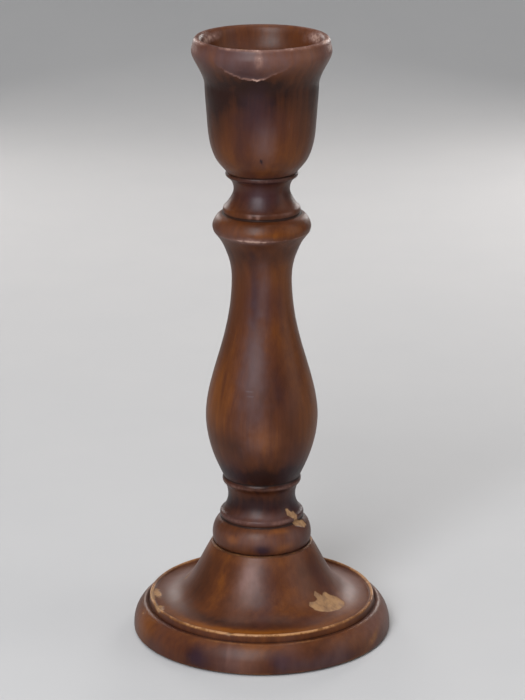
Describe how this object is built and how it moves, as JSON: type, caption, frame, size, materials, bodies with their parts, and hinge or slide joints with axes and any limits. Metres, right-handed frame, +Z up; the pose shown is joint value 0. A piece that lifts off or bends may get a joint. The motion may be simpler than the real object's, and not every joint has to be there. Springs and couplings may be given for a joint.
{
  "type": "candlestick",
  "caption": "Tall turned wooden candlestick with a round stepped base, a baluster stem and a bell-shaped cup for a taper candle.",
  "frame": {"origin": "centre of the underside, on the table", "axes": "+Z up along the turning axis; the piece is round, so +X and +Y are free"},
  "size_m": [0.1068, 0.1068, 0.25],
  "materials": {
    "base_wood": "dark brown stain, worn semi-gloss varnish",
    "stem_wood": "dark brown stain, worn semi-gloss varnish",
    "cup_wood": "dark brown stain, worn semi-gloss varnish",
    "screw_steel": "dull zinc-plated steel",
    "felt": "dark green baize"
  },
  "bodies": {
    "root": {"base": "base_wood", "stem": "stem_wood", "cup": "cup_wood", "base_screw": "screw_steel", "felt_pad": "felt"}
  },
  "joints": []
}
